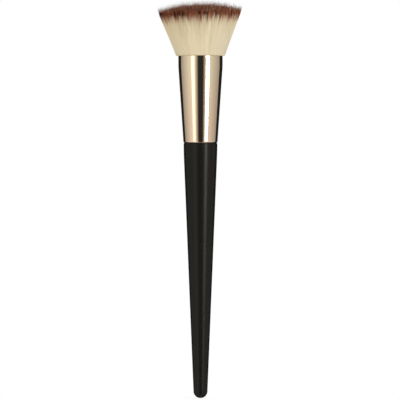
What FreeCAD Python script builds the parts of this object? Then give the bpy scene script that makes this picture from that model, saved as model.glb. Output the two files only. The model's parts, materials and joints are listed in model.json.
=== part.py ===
import FreeCAD
import Part
import math
import os

from FreeCAD import Vector

# Handle: a turned and lacquered taper, with a tenon that the ferrule hides. All lengths in mm.
handle_length = 106.4
handle_end_radius = 2.8
handle_upright_length = 3.3
handle_easing_share = 0.9
handle_edge_bevel = 0.3
tenon_lead_in = 0.8
glue_groove_depth = 0.4
glue_groove_count = 2

# Ferrule: a drawn shell of even wall, straight at its mouth, turned in at its foot
ferrule_length = 36.5
ferrule_mouth_radius = 9.25
ferrule_foot_radius = 7.1
ferrule_wall = 0.4
collar_length = 4.6
foot_bend_length = 0.5
foot_flange_length = 1.1
mouth_lip_share = 0.4

# Tuft: soft two-tone filaments, packed in the ferrule and flaring to a trimmed dome
tuft_root_depth = 14.0
tuft_overhang = 0.65
tuft_overhang_rise = 0.2
tuft_bulge_radius = 10.6
tuft_bulge_height = 1.2
tuft_rim_radius = 17.3
tuft_rim_height = 18.0
tuft_dome_rise = 2.6
tuft_rim_easing = 1.2
lock_count = 40
lock_groove_share = 0.02
rim_step_count = 3
dome_step_count = 4

# Glue: a cast plug that binds the roots, and a sleeve that holds the tenon
root_plug_thickness = 4.0
root_plug_rim = 1.5
tenon_air_gap = 2.0

# Fits
foot_overhang = 0.07
tenon_clearance = 0.05
root_clearance = 0.2
mouth_clearance = 0.15

# Heights on the brush's axis, from the middle of the ferrule's straight collar
mouth_z = collar_length / 2
collar_foot_z = mouth_z - collar_length
shoulder_z = mouth_z - ferrule_length
butt_z = shoulder_z - handle_length
root_z = mouth_z - tuft_root_depth
plug_z = root_z - root_plug_thickness
tenon_top_z = plug_z - tenon_air_gap
lead_in_z = tenon_top_z - tenon_lead_in
glue_foot_z = shoulder_z + foot_bend_length + ferrule_wall
tuft_base_z = mouth_z + mouth_clearance
bulge_z = mouth_z + tuft_bulge_height
rim_z = mouth_z + tuft_rim_height
crown_z = rim_z + tuft_dome_rise

# Radii and angles that follow from the fits
handle_top_radius = ferrule_foot_radius - foot_overhang
foot_opening_radius = ferrule_foot_radius - foot_flange_length
tenon_radius = foot_opening_radius - tenon_clearance
cone_angle = math.atan2(ferrule_mouth_radius - ferrule_foot_radius, collar_foot_z - shoulder_z)

axis_start = Vector(0, 0, 0)
axis_direction = Vector(0, 0, 1)
full_turn_degrees = 360


def at(radius, height):
    """Point of a half profile, in the plane that is turned about the brush's axis."""
    return Vector(radius, 0, height)


def corner_arc(last, corner, following, setback):
    """Arc tangent to both lines that meet in a corner, starting a setback away from it."""
    backward = (last - corner).normalize()
    forward = (following - corner).normalize()
    half_angle = backward.getAngle(forward) / 2
    radius = setback * math.tan(half_angle)
    bisector = (backward + forward).normalize()
    middle = corner + bisector * (radius / math.sin(half_angle) - radius)
    return Part.Arc(corner + backward * setback, middle, corner + forward * setback).toShape()


def dome_arc(rim, crown):
    """Arc of a ball centred on the axis, from a rim point to the crown where the axis leaves it."""
    rise = crown.z - rim.z
    ball_radius = (rim.x ** 2 + rise ** 2) / (2 * rise)
    half_way = math.asin(rim.x / ball_radius) / 2
    middle = at(ball_radius * math.sin(half_way), crown.z - ball_radius * (1 - math.cos(half_way)))
    return Part.Arc(rim, middle, crown).toShape()


def lines(points):
    """Straight edges through a row of points."""
    return [Part.makeLine(first, second) for first, second in zip(points, points[1:])]


def turned(edges):
    """Solid that a closed half profile sweeps in one turn about the brush's axis."""
    return Part.Face(Part.Wire(edges)).revolve(axis_start, axis_direction, full_turn_degrees)


def ferrule_radius(height):
    """Outer radius of the ferrule's cone, or of its straight collar above that."""
    below_collar = max(collar_foot_z - height, 0)
    return ferrule_mouth_radius - below_collar * math.tan(cone_angle)


def bore_radius(height):
    """Inner radius of the ferrule's wall above its foot."""
    return ferrule_radius(height) - ferrule_wall / math.cos(cone_angle)


def root_radius(height):
    """Radius of the packed filaments inside the ferrule."""
    return bore_radius(height) - root_clearance


def tenon_side():
    """Points up the glued stretch of the tenon's side, with a V groove at each even step."""
    pitch = (lead_in_z - glue_foot_z) / (glue_groove_count + 1)
    points = [at(tenon_radius, glue_foot_z)]
    for groove in range(glue_groove_count):
        groove_z = glue_foot_z + pitch * (groove + 1)
        points += [
            at(tenon_radius, groove_z - glue_groove_depth),
            at(tenon_radius - glue_groove_depth, groove_z),
            at(tenon_radius, groove_z + glue_groove_depth),
        ]
    return points + [at(tenon_radius, lead_in_z)]


def make_handle():
    """Ball-ended taper that eases upright under a square shoulder, with a grooved tenon above it."""
    butt = at(0, butt_z)
    butt_corner = at(handle_end_radius, butt_z)
    neck_corner = at(handle_top_radius, shoulder_z - handle_upright_length)
    bevel_foot = at(handle_top_radius, shoulder_z - handle_edge_bevel)
    ball = corner_arc(butt, butt_corner, neck_corner, handle_end_radius)
    easing_setback = handle_easing_share * (bevel_foot.z - neck_corner.z)
    easing = corner_arc(butt_corner, neck_corner, bevel_foot, easing_setback)
    taper = Part.makeLine(ball.lastVertex().Point, easing.firstVertex().Point)
    upper_points = [
        easing.lastVertex().Point,
        bevel_foot,
        at(handle_top_radius - handle_edge_bevel, shoulder_z),
        at(tenon_radius, shoulder_z),
        *tenon_side(),
        at(tenon_radius - tenon_lead_in, tenon_top_z),
        at(0, tenon_top_z),
        ball.firstVertex().Point,
    ]
    return turned([ball, taper, easing, *lines(upper_points)])


def make_ferrule():
    """Drawn shell whose outer line runs from the turned-in foot up the cone to the bevelled mouth."""
    bend_z = shoulder_z + foot_bend_length
    outer_line = Part.Wire(lines([
        at(foot_opening_radius, shoulder_z),
        at(ferrule_foot_radius - foot_bend_length, shoulder_z),
        at(ferrule_radius(bend_z), bend_z),
        at(ferrule_mouth_radius, collar_foot_z),
        at(ferrule_mouth_radius, mouth_z),
    ]))
    wall = outer_line.makeOffset2D(ferrule_wall, 0, True, True)
    shell = wall.revolve(axis_start, axis_direction, full_turn_degrees)
    lip_edges = [edge for edge in shell.Edges
                 if edge.Closed and abs(edge.CenterOfMass.z - mouth_z) < mouth_clearance]
    return shell.makeChamfer(ferrule_wall * mouth_lip_share, lip_edges)


def lock_ring(crest):
    """Corners of the tuft's section at an outline point: a ridge for each lock, and grooves between."""
    corners = []
    for step in range(2 * lock_count):
        radius = crest.x * (1 - lock_groove_share * (step % 2))
        angle = math.pi * step / lock_count
        corners.append(Vector(radius * math.cos(angle), radius * math.sin(angle), crest.z))
    return corners


def flat_face(corners):
    """Flat face inside a closed row of corners."""
    return Part.Face(Part.makePolygon(corners + corners[:1]))


def tuft_outline():
    """Points up the tuft's side, from its root over the ferrule's lip and the rim to near the crown."""
    bulge = at(tuft_bulge_radius, bulge_z)
    rim = at(tuft_rim_radius, rim_z)
    dome = dome_arc(rim, at(0, crown_z)).discretize(dome_step_count + 1)
    rim_arc = corner_arc(bulge, rim, dome[1], tuft_rim_easing)
    return [
        at(root_radius(root_z), root_z),
        at(root_radius(collar_foot_z), collar_foot_z),
        at(root_radius(mouth_z), tuft_base_z),
        at(ferrule_mouth_radius + tuft_overhang, tuft_base_z + tuft_overhang_rise),
        bulge,
        *rim_arc.discretize(rim_step_count + 1),
        *dome[1:-1],
    ]


def make_tuft():
    """Locks of filaments: flat-sided flutes from ring to ring up the tuft's outline, closed at both ends."""
    rings = [lock_ring(point) for point in tuft_outline()]
    faces = [flat_face(rings[0]), flat_face(rings[-1])]
    for lower, upper in zip(rings, rings[1:]):
        for side in range(2 * lock_count):
            faces.append(flat_face([lower[side - 1], lower[side], upper[side], upper[side - 1]]))
    return Part.makeSolid(Part.makeShell(faces))


def make_root_plug():
    """Cast plug under the roots, with a rim that wicked up round them."""
    rim_top_z = root_z + root_plug_rim
    return turned(lines([
        at(0, plug_z),
        at(0, root_z),
        at(root_radius(root_z), root_z),
        at(root_radius(rim_top_z), rim_top_z),
        at(bore_radius(rim_top_z), rim_top_z),
        at(bore_radius(plug_z), plug_z),
        at(0, plug_z),
    ]))


def make_tenon_glue():
    """Wedge-shaped glue sleeve that fills the tenon's grooves and the ferrule's cone round it."""
    inner_side = tenon_side()
    outer_side = [at(bore_radius(lead_in_z), lead_in_z), at(bore_radius(glue_foot_z), glue_foot_z)]
    return turned(lines(inner_side + outer_side + inner_side[:1]))


def main():
    """Build every piece in its place and write each to its own file."""
    pieces = {
        "handle": make_handle(),
        "ferrule": make_ferrule(),
        "fibre_tuft": make_tuft(),
        "root_glue_plug": make_root_plug(),
        "tenon_glue_sleeve": make_tenon_glue(),
    }
    os.makedirs("parts", exist_ok=True)
    for name, shape in pieces.items():
        print(name, len(shape.Solids), shape.isValid(), round(shape.Volume, 1))
        shape.exportStep("parts/" + name + ".step")


main()
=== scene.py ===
"""Dresses a long-handled flat-top kabuki makeup brush and sets it in a plain studio.

Lengths are in metres.
"""

import json
import logging
import math
from dataclasses import dataclass
from enum import Enum
from typing import ClassVar, Mapping, Sequence

import bmesh
import bpy
import numpy as np
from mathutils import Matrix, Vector
from mathutils.kdtree import KDTree

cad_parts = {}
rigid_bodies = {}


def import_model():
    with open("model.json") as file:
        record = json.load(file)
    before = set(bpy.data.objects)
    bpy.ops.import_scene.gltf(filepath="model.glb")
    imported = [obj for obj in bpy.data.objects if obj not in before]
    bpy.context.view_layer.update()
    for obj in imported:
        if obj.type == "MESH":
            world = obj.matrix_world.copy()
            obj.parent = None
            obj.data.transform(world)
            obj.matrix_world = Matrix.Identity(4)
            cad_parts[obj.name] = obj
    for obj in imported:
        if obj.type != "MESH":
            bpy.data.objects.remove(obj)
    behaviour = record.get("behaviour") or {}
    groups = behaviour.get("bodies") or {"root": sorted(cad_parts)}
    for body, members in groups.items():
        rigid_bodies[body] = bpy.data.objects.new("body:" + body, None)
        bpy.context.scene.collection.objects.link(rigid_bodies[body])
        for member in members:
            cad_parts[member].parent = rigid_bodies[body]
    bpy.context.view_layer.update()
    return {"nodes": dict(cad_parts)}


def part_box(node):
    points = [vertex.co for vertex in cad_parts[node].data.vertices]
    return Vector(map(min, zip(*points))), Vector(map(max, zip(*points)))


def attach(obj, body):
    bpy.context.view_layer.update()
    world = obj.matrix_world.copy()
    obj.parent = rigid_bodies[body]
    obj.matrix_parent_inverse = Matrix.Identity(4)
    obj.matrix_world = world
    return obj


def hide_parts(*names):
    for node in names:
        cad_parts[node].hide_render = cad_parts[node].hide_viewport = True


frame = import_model()

BODY = "root"
FULL_TURN = 2 * math.pi
TURN_STEPS = 160
ROUND_PROFILE = 0.5
MERGE_DISTANCE = 1e-6
NOISE_MEAN = 0.5

log = logging.getLogger("brush")

Colour = tuple[float, float, float]
Stretch = tuple[float, float, float]
WHITE: Colour = (1.0, 1.0, 1.0)


class Value:
    """A number in a shader, on which Python's operators add Math nodes."""

    def __init__(self, shader: "Shader", socket: bpy.types.NodeSocket) -> None:
        """Keep the socket that gives the number, and the shader that it is in."""
        self.shader = shader
        self.socket = socket

    def __add__(self, other: "Value | float") -> "Value":
        """Sum of two numbers."""
        return self.shader.maths("ADD", self, other)

    def __radd__(self, other: float) -> "Value":
        """Sum of a plain number and this one."""
        return self.shader.maths("ADD", other, self)

    def __sub__(self, other: "Value | float") -> "Value":
        """Difference of two numbers."""
        return self.shader.maths("SUBTRACT", self, other)

    def __rsub__(self, other: float) -> "Value":
        """A plain number less this one."""
        return self.shader.maths("SUBTRACT", other, self)

    def __mul__(self, other: "Value | float") -> "Value":
        """Product of two numbers."""
        return self.shader.maths("MULTIPLY", self, other)


Input = Value | bpy.types.NodeSocket | float | Sequence[float]


class Shader:
    """Fills one node tree."""

    MIX_FACTOR, MIX_FIRST, MIX_SECOND, MIX_RESULT = 0, 6, 7, 2

    def __init__(self, tree: bpy.types.NodeTree) -> None:
        """Start with an empty tree."""
        self.tree = tree
        tree.nodes.clear()

    def node(
        self,
        kind: str,
        settings: Mapping[str, object] | None = None,
        sockets: Mapping[str | int, Input] | None = None,
    ) -> bpy.types.Node:
        """Add a node.

        Args:
            kind: Blender's name for the type of node.
            settings: The node's own settings, which are set first.
            sockets: What each input socket, by name or number, is set to or linked to.

        Returns:
            The new node.
        """
        made = self.tree.nodes.new(kind)
        for name, setting in (settings or {}).items():
            setattr(made, name, setting)
        for name, source in (sockets or {}).items():
            if isinstance(source, Value):
                source = source.socket
            if isinstance(source, bpy.types.NodeSocket):
                self.tree.links.new(source, made.inputs[name])
            else:
                made.inputs[name].default_value = source
        return made

    def maths(self, operation: str, *numbers: Value | float) -> Value:
        """Result of a Math node on the numbers given."""
        made = self.node("ShaderNodeMath", {"operation": operation}, dict(enumerate(numbers)))
        return Value(self, made.outputs[0])

    def object_place(self, stretch: Sequence[float] = (1, 1, 1)) -> bpy.types.NodeSocket:
        """Place on the object.

        Args:
            stretch: What each coordinate is multiplied by.

        Returns:
            The socket that gives the place.
        """
        place = self.node("ShaderNodeTexCoord").outputs["Object"]
        return self.node("ShaderNodeMapping", None, {"Vector": place, "Scale": stretch}).outputs["Vector"]

    def noise(self, place: bpy.types.NodeSocket, scale: float, detail: float = 2.0) -> Value:
        """Smooth noise from 0 to 1.

        Args:
            place: Where it is read.
            scale: How many times it changes in a metre.
            detail: How many finer layers it has.

        Returns:
            The noise, about 0.5 on average.
        """
        made = self.node("ShaderNodeTexNoise", None, {"Vector": place, "Scale": scale, "Detail": detail})
        return Value(self, made.outputs["Fac"])

    def attribute(self, name: str) -> Value:
        """Number that the mesh carries under a name."""
        return Value(self, self.node("ShaderNodeAttribute", {"attribute_name": name}).outputs["Fac"])

    def step(self, number: Value, start: float, end: float) -> Value:
        """Smooth step.

        Args:
            number: What is compared.
            start: Where the step is still 0.
            end: Where the step has come to 1.

        Returns:
            The step, from 0 to 1.
        """
        made = self.node(
            "ShaderNodeMapRange",
            {"interpolation_type": "SMOOTHSTEP"},
            {"Value": number, "From Min": start, "From Max": end},
        )
        return Value(self, made.outputs["Result"])

    def mix(self, factor: Input, first: Input, second: Input) -> bpy.types.NodeSocket:
        """Colour between two others.

        Args:
            factor: 0 for the first colour, 1 for the second.
            first: A colour or a socket that gives one.
            second: A colour or a socket that gives one.

        Returns:
            The socket that gives the mixed colour.
        """
        sockets = {self.MIX_FACTOR: factor, self.MIX_FIRST: opaque(first), self.MIX_SECOND: opaque(second)}
        return self.node("ShaderNodeMix", {"data_type": "RGBA"}, sockets).outputs[self.MIX_RESULT]

    def bump(self, height: Value, distance: float, strength: float) -> bpy.types.NodeSocket:
        """Surface normal over small relief.

        Args:
            height: The relief, from 0 to 1.
            distance: How deep the relief is.
            strength: How much of it shows.

        Returns:
            The socket that gives the normal.
        """
        sockets = {"Height": height, "Distance": distance, "Strength": strength}
        return self.node("ShaderNodeBump", None, sockets).outputs["Normal"]

    def principled(self, sockets: Mapping[str, Input]) -> bpy.types.NodeSocket:
        """Output of a Principled shader with these sockets."""
        return self.node("ShaderNodeBsdfPrincipled", None, sockets).outputs["BSDF"]

    def blend(self, factor: Value, first: bpy.types.Node, second: bpy.types.Node) -> bpy.types.NodeSocket:
        """Surface between two others.

        Args:
            factor: 0 for the first surface, 1 for the second.
            first: The node that gives the first surface.
            second: The node that gives the second surface.

        Returns:
            The socket that gives the mixed surface.
        """
        sockets = dict(enumerate((factor, first.outputs[0], second.outputs[0])))
        return self.node("ShaderNodeMixShader", None, sockets).outputs["Shader"]


def opaque(colour: Input) -> Input:
    """Give a plain colour its alpha, and leave a socket as it is."""
    return (*colour, 1.0) if isinstance(colour, tuple) else colour


def new_material(name: str) -> tuple[bpy.types.Material, Shader]:
    """Make a material with no nodes yet.

    Args:
        name: The material's name.

    Returns:
        The material, and the shader that fills its tree.
    """
    made = bpy.data.materials.new(name)
    made.use_nodes = True
    return made, Shader(made.node_tree)


@dataclass(frozen=True)
class Finish:
    """What a surface is coated with or made of."""

    name: str
    slot: str

    def surface(self, shader: Shader) -> bpy.types.NodeSocket:
        """Fill a shader; each finish has its own way."""
        raise NotImplementedError

    def material(self) -> bpy.types.Material:
        """Make the finish's material.

        Returns:
            The material, with its nodes.
        """
        made, shader = new_material(self.name)
        shader.node("ShaderNodeOutputMaterial", None, {"Surface": self.surface(shader)})
        return made


@dataclass(frozen=True)
class LacquerFinish(Finish):
    """Satin black lacquer on turned wood, whose grain still shows faintly."""

    name: str = "satin_black_lacquer"
    slot: str = "lacquered_wood"
    dark: Colour = (0.0078, 0.0069, 0.0052)
    worn: Colour = (0.0132, 0.0117, 0.0090)
    roughness: float = 0.26
    roughness_spread: float = 0.10
    specular: float = 0.115
    grain_stretch: Stretch = (1.0, 1.0, 0.04)
    grain_scale: float = 1400.0
    grain_detail: float = 3.0
    grain_relief_share: float = 0.5
    peel_scale: float = 2600.0
    relief: float = 0.00002
    relief_strength: float = 0.5

    def surface(self, shader: Shader) -> bpy.types.NodeSocket:
        """Mix the grain and the lacquer's fine peel.

        Args:
            shader: The tree to fill.

        Returns:
            The shader's output.
        """
        grain = shader.noise(shader.object_place(self.grain_stretch), self.grain_scale, self.grain_detail)
        peel = shader.noise(shader.object_place(), self.peel_scale)
        height = grain * self.grain_relief_share + peel * (1 - self.grain_relief_share)
        return shader.principled({
            "Base Color": shader.mix(grain, self.dark, self.worn),
            "Roughness": self.roughness + (peel - NOISE_MEAN) * self.roughness_spread,
            "Specular IOR Level": self.specular,
            "Normal": shader.bump(height, self.relief, self.relief_strength),
        })


@dataclass(frozen=True)
class RoseGoldFinish(Finish):
    """Polished champagne gold with fine drawing lines; painted shade makes it darker and rosier towards the
    foot.
    """

    name: str = "polished_rose_gold"
    slot: str = "rose_gold_metal"
    champagne: Colour = (0.78, 0.635, 0.44)
    # The foot's colour, a darker and rosier copy of the gold, is painted shade.
    rose: Colour = (0.78, 0.58, 0.415)
    foot: float = 0.0
    mouth: float = 0.0
    roughness: float = 0.10
    roughness_spread: float = 0.06
    line_stretch: Stretch = (1.0, 1.0, 0.02)
    line_scale: float = 2400.0
    relief: float = 0.000002
    relief_strength: float = 0.4

    def surface(self, shader: Shader) -> bpy.types.NodeSocket:
        """Paint shade by height, darker and rosier towards the foot, and draw the lines along the axis.

        Args:
            shader: The tree to fill.

        Returns:
            The shader's output.
        """
        lines = shader.noise(shader.object_place(self.line_stretch), self.line_scale)
        place = shader.node("ShaderNodeSeparateXYZ", None, {"Vector": shader.object_place()})
        # Painted shade: 1 at the foot, where the gold is painted darker and rosier, down to 0 at the mouth.
        painted_foot_shade = 1 - shader.step(Value(shader, place.outputs["Z"]), self.foot, self.mouth)
        return shader.principled({
            "Base Color": shader.mix(painted_foot_shade, self.champagne, self.rose),
            "Metallic": 1.0,
            "Roughness": self.roughness + (lines - NOISE_MEAN) * self.roughness_spread,
            "Normal": shader.bump(lines, self.relief, self.relief_strength),
        })


@dataclass(frozen=True)
class FibreFinish(Finish):
    """Soft synthetic filaments, cream with dark brown dipped tips.

    The mesh carries each place's distance below the trimmed top, and a tone: each filament's own, painted
    low as shade on the core's top.
    Above the top the distance is negative.
    """

    name: str = "two_tone_fibre"
    slot: str = "soft_fibre"
    pale: Colour = (0.66, 0.47, 0.33)
    point: Colour = (0.15, 0.105, 0.083)
    # A low tone picks dark_tip and shaded; on the core's top the low tones are painted shade.
    dark_tip: Colour = (0.012, 0.003, 0.002)
    light_tip: Colour = (0.47, 0.145, 0.068)
    tan: Colour = (0.56, 0.27, 0.145)
    shaded: Colour = (0.90, 0.78, 0.53)
    cream: Colour = (0.95, 0.84, 0.598)
    pale_steps: tuple[float, float] = (-0.0038, -0.0012)
    point_steps: tuple[float, float] = (-0.0014, -0.0002)
    tan_steps: tuple[float, float] = (0.0008, 0.0035)
    cream_steps: tuple[float, float] = (0.0010, 0.0046)
    roughness: float = 0.7
    specular: float = 0.05
    tip_distance: str = "tip_distance"
    tone: str = "tone"

    def surface(self, shader: Shader) -> bpy.types.NodeSocket:
        """Fade from the dipped tip to the cream length.

        Args:
            shader: The tree to fill.

        Returns:
            The shader's output.
        """
        distance = shader.attribute(self.tip_distance)
        tone = shader.attribute(self.tone)
        tip = shader.mix(tone, self.dark_tip, self.light_tip)
        point = shader.mix(shader.step(distance, *self.pale_steps), self.pale, self.point)
        tip = shader.mix(shader.step(distance, *self.point_steps), point, tip)
        length = shader.mix(tone, self.shaded, self.cream)
        dyed = shader.mix(shader.step(distance, *self.tan_steps), tip, self.tan)
        return shader.principled({
            "Base Color": shader.mix(shader.step(distance, *self.cream_steps), dyed, length),
            "Roughness": self.roughness,
            "Specular IOR Level": self.specular,
        })


@dataclass(frozen=True)
class GlueFinish(Finish):
    """Cured amber glue with small bubbles."""

    name: str = "amber_glue"
    slot: str = "cured_glue"
    clear: Colour = (0.62, 0.46, 0.22)
    cloudy: Colour = (0.70, 0.60, 0.40)
    roughness: float = 0.15
    roughness_spread: float = 0.2
    bubble_scale: float = 1500.0
    bubble_detail: float = 3.0
    relief: float = 0.00005
    relief_strength: float = 0.5

    def surface(self, shader: Shader) -> bpy.types.NodeSocket:
        """Cloud the glue where it holds bubbles.

        Args:
            shader: The tree to fill.

        Returns:
            The shader's output.
        """
        bubbles = shader.noise(shader.object_place(), self.bubble_scale, self.bubble_detail)
        return shader.principled({
            "Base Color": shader.mix(bubbles, self.clear, self.cloudy),
            "Roughness": self.roughness + bubbles * self.roughness_spread,
            "Normal": shader.bump(bubbles, self.relief, self.relief_strength),
        })


@dataclass(frozen=True)
class Corner:
    """A corner of a turned outline, rounded from a setback away in some steps."""

    radius: float
    height: float
    setback: float = 0.0
    steps: int = 6


def turned(name: str, corners: Sequence[Corner], ring: float, closed: bool) -> bpy.types.Object:
    """Turn an outline about the brush's axis.

    Args:
        name: The new piece's name.
        corners: The outline's corners, in order.
        ring: The greatest distance between two rings of the mesh.
        closed: Whether the outline returns to its first corner.

    Returns:
        The new piece, with smooth faces.
    """
    work = bmesh.new()
    points = [work.verts.new((corner.radius, 0, corner.height)) for corner in corners]
    for first, second in zip(points, points[1:] + points[:closed]):
        work.edges.new((first, second))
    for point, corner in zip(points, corners):
        if corner.setback:
            bmesh.ops.bevel(
                work, geom=[point], affect="VERTICES", offset=corner.setback, offset_type="OFFSET",
                segments=corner.steps, profile=ROUND_PROFILE, material=-1,
            )
    for edge in work.edges[:]:
        cuts = int(edge.calc_length() / ring)
        if cuts:
            bmesh.ops.subdivide_edges(work, edges=[edge], cuts=cuts)
    bmesh.ops.spin(
        work, geom=work.verts[:] + work.edges[:], cent=(0, 0, 0), axis=(0, 0, 1), dvec=(0, 0, 0),
        angle=FULL_TURN, steps=TURN_STEPS, use_merge=True, use_duplicate=False,
    )
    bmesh.ops.remove_doubles(work, verts=work.verts, dist=MERGE_DISTANCE)
    bmesh.ops.recalc_face_normals(work, faces=work.faces)
    return as_object(name, work)


def as_object(name: str, work: bmesh.types.BMesh) -> bpy.types.Object:
    """Make a finished bmesh an object in the scene.

    Args:
        name: The object's name.
        work: The bmesh, which is freed.

    Returns:
        The object, at the origin, with smooth faces.
    """
    for face in work.faces:
        face.smooth = True
    mesh = bpy.data.meshes.new(name)
    work.to_mesh(mesh)
    work.free()
    made = bpy.data.objects.new(name, mesh)
    bpy.context.scene.collection.objects.link(made)
    return made


def dress(piece: bpy.types.Object, finish: Finish, material: bpy.types.Material, *nodes: str) -> None:
    """Give a new piece its finish and its place in the assembly.

    Args:
        piece: The new piece.
        finish: The finish it is made in; not used.
        material: That finish's material.
        nodes: The solids that it stands for.
    """
    piece.data.materials.clear()
    piece.data.materials.append(material)
    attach(piece, BODY)
    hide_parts(*nodes)
    log.info("%s: %d faces", piece.name, len(piece.data.polygons))


@dataclass
class Handle:
    """Turned handle: ball end, long taper that eases upright under the shoulder, and a hidden tenon."""

    finish: LacquerFinish
    shoulder: float = 0.0
    end_radius: float = 0.0028
    ball_share: float = 0.99
    ball_steps: int = 16
    upright_length: float = 0.0033
    easing_setback: float = 0.0027
    easing_steps: int = 8
    edge_setback: float = 0.0003
    edge_steps: int = 4
    tenon_radius: float = 0.00595
    tenon_lead_in: float = 0.0008
    lead_in_steps: int = 2
    ring: float = 0.002

    def build(self) -> bpy.types.Object:
        """Turn the handle from its butt to the top of its tenon.

        Returns:
            The new piece.
        """
        low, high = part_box("handle")
        outline = [
            Corner(0, low.z),
            Corner(self.end_radius, low.z, self.end_radius * self.ball_share, self.ball_steps),
            Corner(high.x, self.shoulder - self.upright_length, self.easing_setback, self.easing_steps),
            Corner(high.x, self.shoulder, self.edge_setback, self.edge_steps),
            Corner(self.tenon_radius, self.shoulder),
            Corner(self.tenon_radius, high.z, self.tenon_lead_in, self.lead_in_steps),
            Corner(0, high.z),
        ]
        return turned("lacquered_handle", outline, self.ring, closed=False)


@dataclass
class Ferrule:
    """Drawn metal ferrule: rolled lip, straight collar, long cone and a foot turned in over the shoulder."""

    finish: RoseGoldFinish
    foot_radius: float = 0.0071
    wall: float = 0.0004
    collar_length: float = 0.0046
    collar_easing: float = 0.0012
    foot_flange: float = 0.0011
    foot_setback: float = 0.00055
    foot_steps: int = 8
    inner_foot_steps: int = 4
    lip_setback: float = 0.00017
    lip_steps: int = 4
    ring: float = 0.001

    def build(self) -> bpy.types.Object:
        """Turn the ferrule's wall, outside and inside.

        Returns:
            The new piece.
        """
        low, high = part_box("ferrule")
        collar_foot = high.z - self.collar_length
        inner_foot = low.z + self.wall
        opening = self.foot_radius - self.foot_flange
        inner_setback = self.foot_setback - self.wall / 2
        outline = [
            Corner(opening, low.z),
            Corner(self.foot_radius, low.z, self.foot_setback, self.foot_steps),
            Corner(high.x, collar_foot, self.collar_easing),
            Corner(high.x, high.z, self.lip_setback, self.lip_steps),
            Corner(high.x - self.wall, high.z, self.lip_setback, self.lip_steps),
            Corner(high.x - self.wall, collar_foot, self.collar_easing),
            Corner(self.foot_radius - self.wall, inner_foot, inner_setback, self.inner_foot_steps),
            Corner(opening, inner_foot),
        ]
        return turned("rose_gold_ferrule", outline, self.ring, closed=True)


class Layer(Enum):
    """Where in the tuft a filament lies."""

    SIDE = "side"
    TOP = "top"


@dataclass(frozen=True)
class Filaments:
    """Where a sector's filaments of one layer end, with a row for each.

    Places are in shares of the tuft's radius. Heights are above the ferrule's mouth. A filament's trim is
    the height of the trimmed top at its place, and the tip of a stray or a pale one stands above that.
    """

    layer: Layer
    places: np.ndarray
    locks: np.ndarray
    trim: np.ndarray
    tips: np.ndarray
    strays: np.ndarray
    pale: np.ndarray


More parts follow.
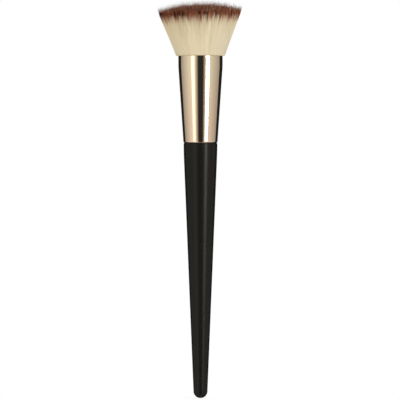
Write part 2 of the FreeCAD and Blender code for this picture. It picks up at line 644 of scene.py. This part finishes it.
@dataclass
class FibreTuft:
    """Loose filaments that bulge over the ferrule's lip and flare to a trimmed, slightly slanted dome.

    Places are in shares of the tuft's radius. Heights are above the ferrule's mouth.
    """

    SIDES: ClassVar[int] = 3
    MAP_EDGES: ClassVar[tuple[float, float]] = (0.02, 0.98)
    MAP_STEP: ClassVar[float] = 0.006
    MAP_DISTANCES: ClassVar[tuple[float, float]] = (-0.005, 0.033)

    finish: FibreFinish
    mouth: float = 0.0
    seed: int = 20
    sectors: int = 8

    # A sector's filaments: those at the side start in the ferrule, those on top in the upper third
    side_count: int = 2100
    top_count: int = 3400
    side_steps: tuple[float, ...] = (0.33, 0.66, 0.88, 1.0)
    top_steps: tuple[float, ...] = (0.66, 0.80, 0.91, 1.0)
    skin_share: float = 0.07
    skin_power: int = 2
    fibre_radius: float = 0.000055
    taper_shares: tuple[float, ...] = (0.85, 0.12)

    # Outline: heights and radii up the throat, then the flare to the rim and the slanted dome
    throat: tuple[tuple[float, float], ...] = (
        (-0.0025, 0.0084), (0.00004, 0.0088), (0.00007, 0.0096), (-0.00010, 0.0101), (0.0004, 0.0104),
        (0.0012, 0.0106),
    )
    rim_radius: float = 0.0168
    rim_height: float = 0.01755
    crown_rise: float = 0.0030
    dome_power: float = 2.6
    slant: float = 0.033
    lean: float = -0.025

    # Locks, which filaments that end close together share
    lock_count: int = 6000
    lock_stagger: float = 0.00012
    lock_wander: float = 0.00007
    lock_pull: float = 0.06
    bend_power: int = 2
    lock_dip_wander: float = 0.00035
    lock_tone_range: tuple[float, float] = (-0.05, 1.05)
    undyed_share: float = 0.03
    undyed_shift: float = 0.0025

    # What each filament has of its own
    tip_stagger: float = 0.0004
    tip_wander: float = 0.00012
    dip_wander: float = 0.0009
    dip_depth: float = 0.0008
    tone_wander: float = 0.15
    stray_share: float = 0.20
    stray_rise: float = 0.0027
    stray_radius_share: float = 0.30
    pale_share: float = 0.009
    pale_rises: tuple[float, float] = (0.0002, 0.0018)
    pale_distance: float = -0.005
    pale_tip_share: float = 0.6

    # Packed core
    core_inset: float = 0.0006
    core_depth: float = 0.0009
    core_ring: float = 0.001
    # Depth below the top over which the core's tone is painted low, as painted shade; below it the tones are
    # random.
    core_shade_depth: float = 0.004
    core_tones: tuple[float, float] = (0.5, 1.0)

    def __post_init__(self) -> None:
        """Set up the draws and the locks, which all sectors share."""
        self.draws = np.random.default_rng(self.seed)
        share = np.sqrt(self.draws.uniform(0, 1, self.lock_count))
        angle = self.draws.uniform(0, FULL_TURN, self.lock_count)
        self.lock_places = np.stack([share * np.cos(angle), share * np.sin(angle)], 1)
        self.lock_rises = self.draws.normal(0, self.lock_stagger, self.lock_count)
        self.lock_leans = self.draws.normal(0, self.lock_wander, (self.lock_count, 2))
        self.lock_dips = self.draws.normal(0, self.lock_dip_wander, self.lock_count)
        undyed = self.draws.uniform(0, 1, self.lock_count) < self.undyed_share
        self.lock_dips += undyed * self.undyed_shift
        self.lock_tones = self.draws.uniform(*self.lock_tone_range, self.lock_count)
        self.lock_tree = KDTree(self.lock_count)
        for index, place in enumerate(self.lock_places):
            self.lock_tree.insert((*place, 0), index)
        self.lock_tree.balance()

    def top_height(self, share: np.ndarray, across: np.ndarray) -> np.ndarray:
        """Height of the trimmed dome.

        Args:
            share: Distance from the axis, as a share of the rim's.
            across: Distance to the right of the axis.

        Returns:
            The height at each place.
        """
        return self.rim_height + self.crown_rise * (1 - share ** self.dome_power) + self.slant * across

    def flare(self, height: np.ndarray) -> np.ndarray:
        """Radius of the tuft above its bulge.

        Args:
            height: Where it is wanted.

        Returns:
            The radius at each height.
        """
        bulge_height, bulge_radius = self.throat[-1]
        slope = (self.rim_radius - bulge_radius) / (self.rim_height - bulge_height)
        return bulge_radius + slope * (height - bulge_height)

    def drawn_places(self, layer: Layer, sector: int) -> np.ndarray:
        """Draw where a sector's filaments end.

        Args:
            layer: Which filaments are drawn.
            sector: Which sector of the turn.

        Returns:
            One place for each filament.
        """
        if layer is Layer.SIDE:
            count = self.side_count
            share = 1 - self.skin_share * self.draws.uniform(0, 1, count) ** self.skin_power
        else:
            count = self.top_count
            share = (1 - self.skin_share) * np.sqrt(self.draws.uniform(0, 1, count))
        turn = (np.arange(count) + self.draws.uniform(0, 1, count)) / count
        angle = (sector + turn) * FULL_TURN / self.sectors
        return np.stack([share * np.cos(angle), share * np.sin(angle)], 1)

    def filaments(self, layer: Layer, sector: int) -> Filaments:
        """Draw a sector's filaments.

        Args:
            layer: Which filaments are drawn.
            sector: Which sector of the turn.

        Returns:
            Where they end, and which of them are strays or have pale tips.
        """
        places = self.drawn_places(layer, sector)
        count = len(places)
        locks = np.array([self.lock_tree.find((*place, 0))[1] for place in places])
        share = np.linalg.norm(places, axis=1)
        trim = self.top_height(share, places[:, 0] * self.rim_radius) + self.lock_rises[locks]
        trim += self.draws.normal(0, self.tip_stagger, count)
        strays = self.draws.uniform(0, 1, count) < self.stray_share
        tips = trim + strays * self.draws.uniform(0, self.stray_rise, count)
        pale = self.draws.uniform(0, 1, count) < self.pale_share
        tips = np.where(pale, trim + self.draws.uniform(*self.pale_rises, count), tips)
        return Filaments(layer, places, locks, trim, tips, strays & ~pale, pale)

    def points(self, drawn: Filaments) -> np.ndarray:
        """Lay filaments out from their roots to their tips.

        Args:
            drawn: The filaments.

        Returns:
            A row of points for each.
        """
        count = len(drawn.tips)
        tips = drawn.tips[:, None]
        throat = np.array(self.throat)
        steps = np.array(self.side_steps if drawn.layer is Layer.SIDE else self.top_steps)
        rises = throat[-1, 0] + steps * (tips - throat[-1, 0])
        radii = self.flare(np.minimum(rises, self.rim_height + self.crown_rise))
        if drawn.layer is Layer.SIDE:
            rises = np.hstack([np.tile(throat[:, 0], (count, 1)), rises])
            radii = np.hstack([np.tile(throat[:, 1], (count, 1)), radii])
        bend = np.clip(rises / tips, 0, 1)[..., None] ** self.bend_power
        pull = self.lock_pull * bend
        spots = drawn.places[:, None] * (1 - pull) + self.lock_places[drawn.locks][:, None] * pull
        wander = self.lock_leans[drawn.locks] + self.draws.normal(0, self.tip_wander, (count, 2))
        flat = spots * radii[..., None] + wander[:, None] * bend
        flat[..., 0] += self.lean * np.maximum(rises, 0)
        return np.concatenate([flat, rises[..., None]], 2)

    def radii(self, drawn: Filaments, rings: int) -> np.ndarray:
        """Thin filaments out towards their tips.

        Args:
            drawn: The filaments.
            rings: How many points each has.

        Returns:
            The points' radii, as shares of a filament's own.
        """
        radii = np.ones((len(drawn.tips), rings))
        radii[:, -len(self.taper_shares):] = self.taper_shares
        radii[drawn.strays] *= self.stray_radius_share
        radii[drawn.pale, -1] = self.pale_tip_share
        return radii

    def dye(self, drawn: Filaments, heights: np.ndarray) -> tuple[np.ndarray, np.ndarray]:
        """Draw what sets the filaments' colours.

        Args:
            drawn: The filaments.
            heights: Their points' heights.

        Returns:
            The points' distances below the trimmed top, and each filament's tone.
        """
        count = len(heights)
        dips = self.lock_dips[drawn.locks] + self.draws.normal(0, self.dip_wander, count)
        depths = drawn.trim[:, None] - heights
        distances = depths + dips[:, None] * np.clip(depths / self.dip_depth, 0, 1)
        distances[drawn.pale, -1] = self.pale_distance
        tones = self.lock_tones[drawn.locks] + self.draws.normal(0, self.tone_wander, count)
        return distances, np.clip(tones, 0, 1)

    def strands(self, name: str, points: np.ndarray, radii: np.ndarray) -> bpy.types.Mesh:
        """Make round filaments along rows of points.

        Args:
            name: The mesh's name.
            points: Each filament's points, from its root to its tip.
            radii: The points' radii, as shares of a filament's own.

        Returns:
            A mesh with a ring of vertices at each point, in the order of the points.
        """
        profile = bpy.data.curves.new(name + "_section", "CURVE")
        section = profile.splines.new("POLY")
        section.points.add(self.SIDES - 1)
        section.use_cyclic_u = True
        for point, turn in zip(section.points, np.arange(self.SIDES) * FULL_TURN / self.SIDES):
            point.co = (self.fibre_radius * math.cos(turn), self.fibre_radius * math.sin(turn), 0, 1)
        section_object = bpy.data.objects.new(name + "_section", profile)
        curve = bpy.data.curves.new(name + "_lines", "CURVE")
        curve.dimensions = "3D"
        curve.bevel_mode = "OBJECT"
        curve.bevel_object = section_object
        weights = np.ones((*radii.shape, 1))
        rows = np.concatenate([points + (0, 0, self.mouth), weights], 2)
        for row, widths in zip(rows, radii):
            spline = curve.splines.new("POLY")
            spline.points.add(len(widths) - 1)
            spline.points.foreach_set("co", row.ravel())
            spline.points.foreach_set("radius", widths)
        curve_object = bpy.data.objects.new(name + "_lines", curve)
        scratch = bpy.context.scene.collection.objects
        scratch.link(section_object)
        scratch.link(curve_object)
        ready = curve_object.evaluated_get(bpy.context.evaluated_depsgraph_get())
        mesh = bpy.data.meshes.new_from_object(ready)
        for spent in (curve_object, section_object):
            bpy.data.objects.remove(spent)
        return mesh

    def build_sector(self, sector: int) -> bpy.types.Object:
        """Grow one sector of the filaments.

        Args:
            sector: Which sector of the turn.

        Returns:
            The new piece, which carries the tip distances and tones.
        """
        name = f"fibres_sector_{sector + 1}"
        work = bmesh.new()
        distances, tones = [], []
        for layer in Layer:
            drawn = self.filaments(layer, sector)
            points = self.points(drawn)
            far, tone = self.dye(drawn, points[..., 2])
            mesh = self.strands(name, points, self.radii(drawn, far.shape[1]))
            work.from_mesh(mesh)
            bpy.data.meshes.remove(mesh)
            distances.append(np.repeat(far.ravel(), self.SIDES))
            tones.append(np.repeat(tone, far.shape[1] * self.SIDES))
        ends = [edge for edge in work.edges if edge.is_boundary]
        bmesh.ops.edgeloop_fill(work, edges=ends, use_smooth=True)
        bmesh.ops.recalc_face_normals(work, faces=work.faces)
        piece = as_object(name, work)
        self.note(piece, np.concatenate(distances), np.concatenate(tones))
        return piece

    def note(self, piece: bpy.types.Object, distances: np.ndarray, tones: np.ndarray) -> None:
        """Write the tip distances and tones on a piece's vertices, and map its faces by them.

        The colour follows from the two numbers alone, so all filaments share the map. The three
        vertices of a ring lie a little apart on it, so that every face keeps some width there.

        Args:
            piece: The piece.
            distances: How far each vertex is below the trimmed top.
            tones: Each vertex's tone.
        """
        for name, numbers in ((self.finish.tip_distance, distances), (self.finish.tone, tones)):
            piece.data.attributes.new(name, "FLOAT", "POINT").data.foreach_set("value", numbers)
        side = np.arange(len(tones)) % self.SIDES - 1
        across = np.interp(tones, (0, 1), self.MAP_EDGES) + side * self.MAP_STEP
        down = np.interp(distances, self.MAP_DISTANCES, self.MAP_EDGES) + side ** 2 * self.MAP_STEP
        corners = np.empty(len(piece.data.loops), np.int32)
        piece.data.loops.foreach_get("vertex_index", corners)
        places = np.stack([across, down], 1)[corners]
        piece.data.uv_layers.new(name="OFBake").uv.foreach_set("vector", places.ravel())

    def build_core(self) -> bpy.types.Object:
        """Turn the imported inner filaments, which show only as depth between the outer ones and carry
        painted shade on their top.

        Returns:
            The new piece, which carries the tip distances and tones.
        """
        rim = self.rim_height - self.core_depth
        outline = [Corner(0, self.mouth + self.throat[0][0])]
        outline += [Corner(radius - self.core_inset, self.mouth + height) for height, radius in self.throat]
        outline += [
            Corner(float(self.flare(rim)) - self.core_inset, self.mouth + rim, self.core_inset),
            Corner(0, self.mouth + rim + self.crown_rise),
        ]
        piece = turned("fibre_core", outline, self.core_ring, closed=False)
        place = np.array([vertex.co for vertex in piece.data.vertices])
        share = np.linalg.norm(place[:, :2], axis=1) / self.rim_radius
        distances = self.top_height(np.minimum(share, 1), place[:, 0]) + self.mouth - place[:, 2]
        # Painted shade: the core's tone falls towards 0 at its top, so it looks dark between the outer
        # filaments.
        shade = np.clip(distances / self.core_shade_depth, 0, 1)
        self.note(piece, distances, shade * self.draws.uniform(*self.core_tones, len(place)))
        return piece


@dataclass(frozen=True)
class Panel:
    """A curved panel round the brush, graded from its left end to its right, which shows only in the gloss.

    Azimuths are in degrees, and go right from the camera's side. Low down, the panel gives only a share
    of its level, or more than that where the share is above 1.
    """

    name: str
    left: float
    right: float
    left_level: float
    right_level: float
    low_share: float = 1.0


@dataclass(frozen=True)
class Softbox:
    """A large soft lamp that faces the brush."""

    name: str
    azimuth: float
    elevation: float
    width: float
    height: float
    radiance: float


@dataclass
class Studio:
    """Plain white surround, soft lamps, panels for the metal's bands, and the camera.

    The view's middle is a height above the floor. Each panel goes over to its low share between two
    heights. The floor's glow is how much of its white the camera sees in place of its paint.
    """

    floor_height: float
    floor_radius: float = 0.30
    floor_segments: int = 96
    floor_paint: Colour = (0.9, 0.9, 0.9)
    floor_level: float = 1.05
    floor_glow: float = 0.8
    distance: float = 2.5
    view_height: float = 0.1668
    view_middle: float = 0.0826
    sideways: float = -0.0002
    sensor: float = 36.0
    ambient: float = 0.79
    panel_radius: float = 0.60
    panel_ends: tuple[float, float] = (-1.80, 0.50)
    panel_fade: tuple[float, float] = (-0.165, -0.085)
    lamp_distance: float = 0.80
    panels: tuple[Panel, ...] = (
        Panel("panel_left_flag", -172, -121, 0.02, 0.02),
        Panel("panel_left_side", -121, -49, 0.40, 1.05, 1.15),
        Panel("panel_left_strip", -49, -32, 1.9, 1.9, 0.8),
        Panel("panel_left_shade", -32, -13, 1.1, 0.1),
        Panel("panel_camera_flag", -13, 14, 0.03, 0.03),
        Panel("panel_right_shade", 14, 31, 0.05, 0.9),
        Panel("panel_right_strip", 31, 46, 10.5, 10.5, 0.15),
        Panel("panel_right_side", 46, 118, 0.90, 0.42, 1.15),
        Panel("panel_right_flag", 118, 172, 0.02, 0.02),
    )
    softboxes: tuple[Softbox, ...] = (
        Softbox("softbox_right", 22.0, 12.0, 0.35, 0.6, 1.43),
        Softbox("softbox_left", -38.0, 12.0, 0.35, 0.6, 0.20),
        Softbox("softbox_above", 0.0, 65.0, 0.8, 0.8, 0.55),
    )

    @staticmethod
    def toward(azimuth: float, elevation: float, distance: float) -> Vector:
        """Place in a direction from the brush.

        Args:
            azimuth: Degrees to the right of the camera's side.
            elevation: Degrees above the level.
            distance: How far away it is.

        Returns:
            The place.
        """
        side, rise = math.radians(azimuth), math.radians(elevation)
        flat = distance * math.cos(rise)
        return Vector((flat * math.sin(side), -flat * math.cos(side), distance * math.sin(rise)))

    def build_world(self) -> None:
        """Show white to the camera and in gloss, and give soft light from all round."""
        world = bpy.data.worlds.new("white_surround")
        world.use_nodes = True
        bpy.context.scene.world = world
        shader = Shader(world.node_tree)
        rays = shader.node("ShaderNodeLightPath").outputs
        kinds = ("Is Camera Ray", "Is Glossy Ray", "Is Transmission Ray")
        camera_ray, glossy_ray, clear_ray = (Value(shader, rays[kind]) for kind in kinds)
        seen = shader.maths("MAXIMUM", shader.maths("MAXIMUM", camera_ray, glossy_ray), clear_ray)
        strength = self.ambient + seen * (1 - self.ambient)
        light = shader.node("ShaderNodeBackground", None, {"Color": opaque(WHITE), "Strength": strength})
        shader.node("ShaderNodeOutputWorld", None, {"Surface": light.outputs["Background"]})

    def build_floor(self) -> None:
        """Lay a pale round floor that is white to the camera apart from the brush's soft shadow."""
        work = bmesh.new()
        bmesh.ops.create_circle(work, cap_ends=True, radius=self.floor_radius, segments=self.floor_segments)
        bmesh.ops.translate(work, verts=work.verts, vec=(0, 0, self.floor_height))
        floor = as_object("floor", work)
        material, shader = new_material("pale_floor")
        camera_ray = Value(shader, shader.node("ShaderNodeLightPath").outputs["Is Camera Ray"])
        paint = shader.node("ShaderNodeBsdfDiffuse", None, {"Color": opaque(self.floor_paint)})
        white = {"Color": opaque(WHITE), "Strength": self.floor_level}
        glow = shader.node("ShaderNodeEmission", None, white)
        surface = shader.blend(camera_ray * self.floor_glow, paint, glow)
        shader.node("ShaderNodeOutputMaterial", None, {"Surface": surface})
        floor.data.materials.append(material)
        floor.visible_glossy = False

    def build_panel(self, panel: Panel) -> None:
        """Bend a panel round the brush from its left end to its right, with a step for each degree.

        Args:
            panel: The panel.
        """
        work = bmesh.new()
        span = panel.right - panel.left
        foot = self.toward(panel.left, 0, self.panel_radius)
        heights = sorted(self.panel_ends + self.panel_fade)
        column = [work.verts.new(foot + Vector((0, 0, height))) for height in heights]
        for low, high in zip(column, column[1:]):
            work.edges.new((low, high))
        bmesh.ops.spin(
            work, geom=work.verts[:] + work.edges[:], cent=(0, 0, 0), axis=(0, 0, 1), dvec=(0, 0, 0),
            angle=math.radians(span), steps=round(span), use_merge=False, use_duplicate=False,
        )
        made = as_object(panel.name, work)
        levels = [self.panel_level(panel, vertex.co) for vertex in made.data.vertices]
        made.data.attributes.new("level", "FLOAT", "POINT").data.foreach_set("value", levels)
        material, shader = new_material(panel.name)
        glow = shader.node("ShaderNodeEmission", None, {"Color": shader.attribute("level")})
        shader.node("ShaderNodeOutputMaterial", None, {"Surface": glow.outputs[0]})
        made.data.materials.append(material)
        made.visible_camera = made.visible_diffuse = made.visible_shadow = False
        made.visible_transmission = made.visible_volume_scatter = False

    def panel_level(self, panel: Panel, place: Vector) -> float:
        """Light that a panel gives at a place on it.

        Args:
            panel: The panel.
            place: The place, from the brush's axis.

        Returns:
            The level, 1 for white.
        """
        azimuth = math.degrees(math.atan2(place.x, -place.y))
        across = np.interp(azimuth, (panel.left, panel.right), (panel.left_level, panel.right_level))
        return float(across * np.interp(place.z, self.panel_fade, (panel.low_share, 1)))

    def build_softbox(self, box: Softbox) -> None:
        """Hang a lamp that faces the brush and doesn't show in its gloss.

        Args:
            box: The lamp.
        """
        lamp = bpy.data.lights.new(box.name, "AREA")
        lamp.shape = "RECTANGLE"
        lamp.size, lamp.size_y = box.width, box.height
        lamp.energy = box.radiance * math.pi * box.width * box.height
        made = bpy.data.objects.new(box.name, lamp)
        made.location = self.toward(box.azimuth, box.elevation, self.lamp_distance)
        made.rotation_euler = made.location.to_track_quat("Z", "Y").to_euler()
        made.visible_camera = made.visible_glossy = False
        bpy.context.scene.collection.objects.link(made)

    def build_camera(self) -> None:
        """Set the camera level with the brush's middle, as far away as a product shot is taken."""
        lens = bpy.data.cameras.new("camera")
        lens.sensor_width = self.sensor
        lens.lens = self.sensor * self.distance / self.view_height
        made = bpy.data.objects.new("camera", lens)
        made.location = (self.sideways, -self.distance, self.floor_height + self.view_middle)
        made.rotation_euler = (math.pi / 2, 0, 0)
        bpy.context.scene.collection.objects.link(made)
        bpy.context.scene.camera = made

    def build(self) -> None:
        """Set up the whole studio."""
        bpy.context.scene.view_settings.view_transform = "Standard"
        self.build_world()
        self.build_floor()
        for panel in self.panels:
            self.build_panel(panel)
        for box in self.softboxes:
            self.build_softbox(box)
        self.build_camera()


def main() -> None:
    """Build the brush's pieces in order, then the studio."""
    logging.basicConfig(level=logging.INFO, format="%(name)s %(message)s")
    foot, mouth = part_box("ferrule")[0].z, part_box("ferrule")[1].z
    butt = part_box("handle")[0].z

    handle = Handle(LacquerFinish(), shoulder=foot)
    dress(handle.build(), handle.finish, handle.finish.material(), "handle")

    ferrule = Ferrule(RoseGoldFinish(foot=foot, mouth=mouth))
    dress(ferrule.build(), ferrule.finish, ferrule.finish.material(), "ferrule")

    tuft = FibreTuft(FibreFinish(), mouth=mouth)
    fibre = tuft.finish.material()
    dress(tuft.build_core(), tuft.finish, fibre, "fibre_tuft")
    for sector in range(tuft.sectors):
        dress(tuft.build_sector(sector), tuft.finish, fibre, "fibre_tuft")

    glue = GlueFinish()
    glue_material = glue.material()
    for node in ("root_glue_plug", "tenon_glue_sleeve"):
        frame["nodes"][node].data.materials.clear()
        frame["nodes"][node].data.materials.append(glue_material)
        log.info("%s: glue", node)

    Studio(floor_height=butt).build()


if __name__ == "__main__":
    main()
